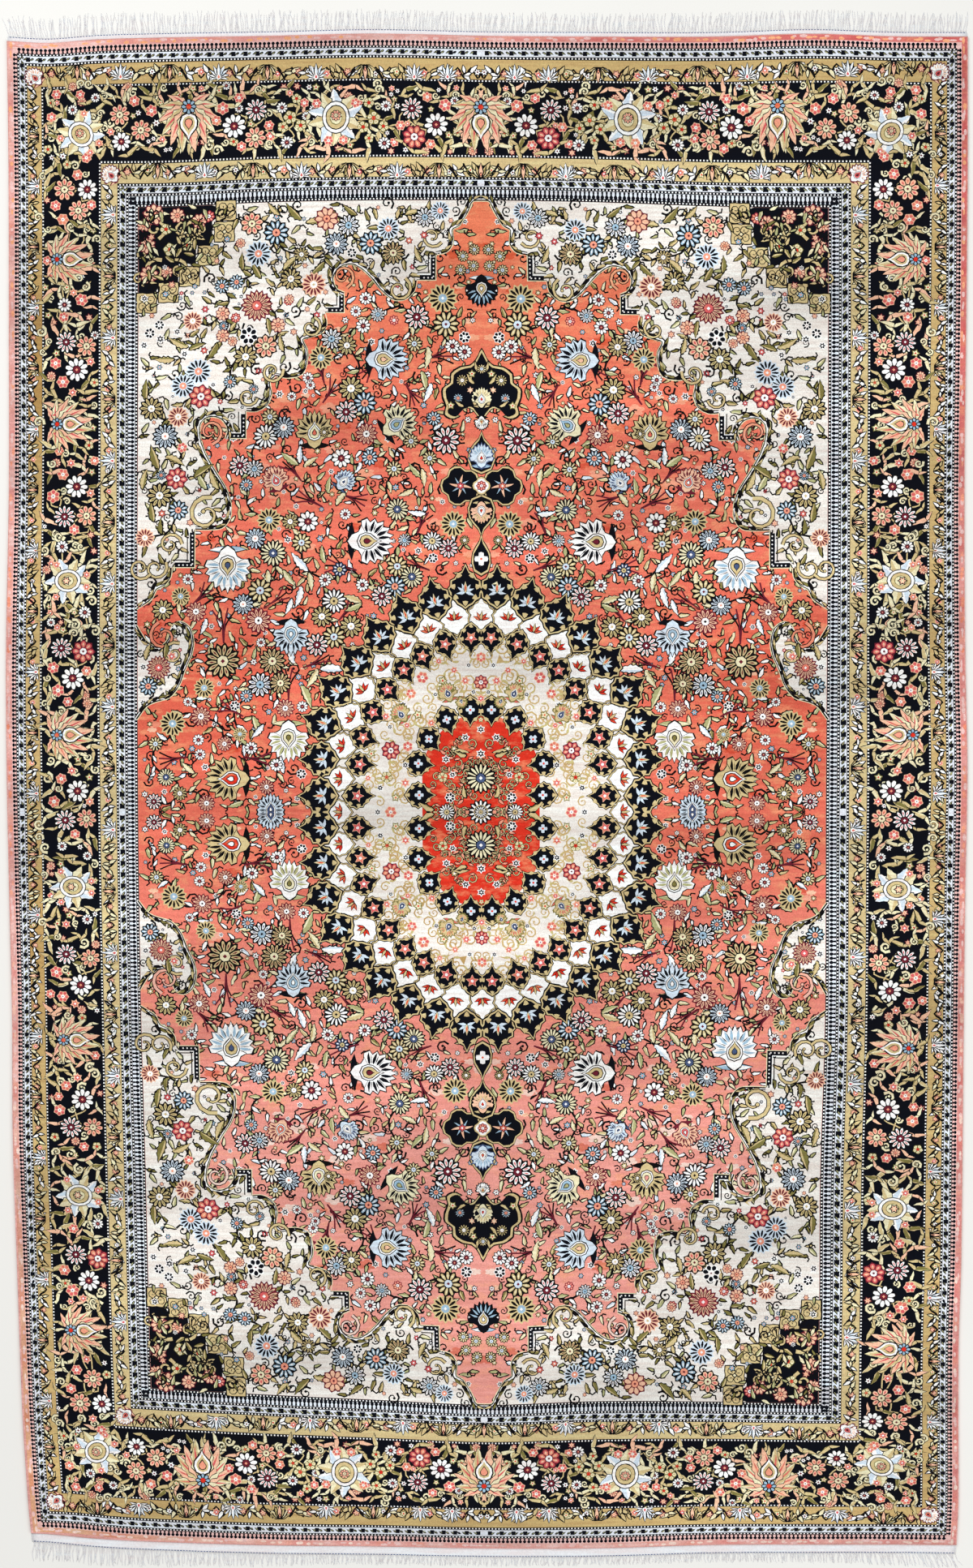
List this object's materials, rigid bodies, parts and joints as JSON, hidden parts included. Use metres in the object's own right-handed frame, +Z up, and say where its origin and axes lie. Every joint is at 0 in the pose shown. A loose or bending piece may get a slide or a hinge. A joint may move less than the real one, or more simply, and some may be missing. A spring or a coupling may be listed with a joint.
{
  "type": "persian pile rug",
  "caption": "Flat hand-knotted pile rug with an oval medallion pattern, plain-woven ends and a fringe at each end.",
  "frame": {"origin": "on the floor under the middle of the rug's whole footprint, fringes included", "axes": "+Z up, +Y along the rug towards its top end, +X across it to the right"},
  "size_m": [1.3342, 2.1728, 0.0045],
  "materials": {
    "silk_pile": "short silk pile with a soft sheen",
    "white_silk": "undyed white warp yarn"
  },
  "bodies": {
    "root": {"rug_cloth": "silk_pile", "fringe_top": "white_silk", "fringe_bottom": "white_silk"}
  },
  "joints": []
}
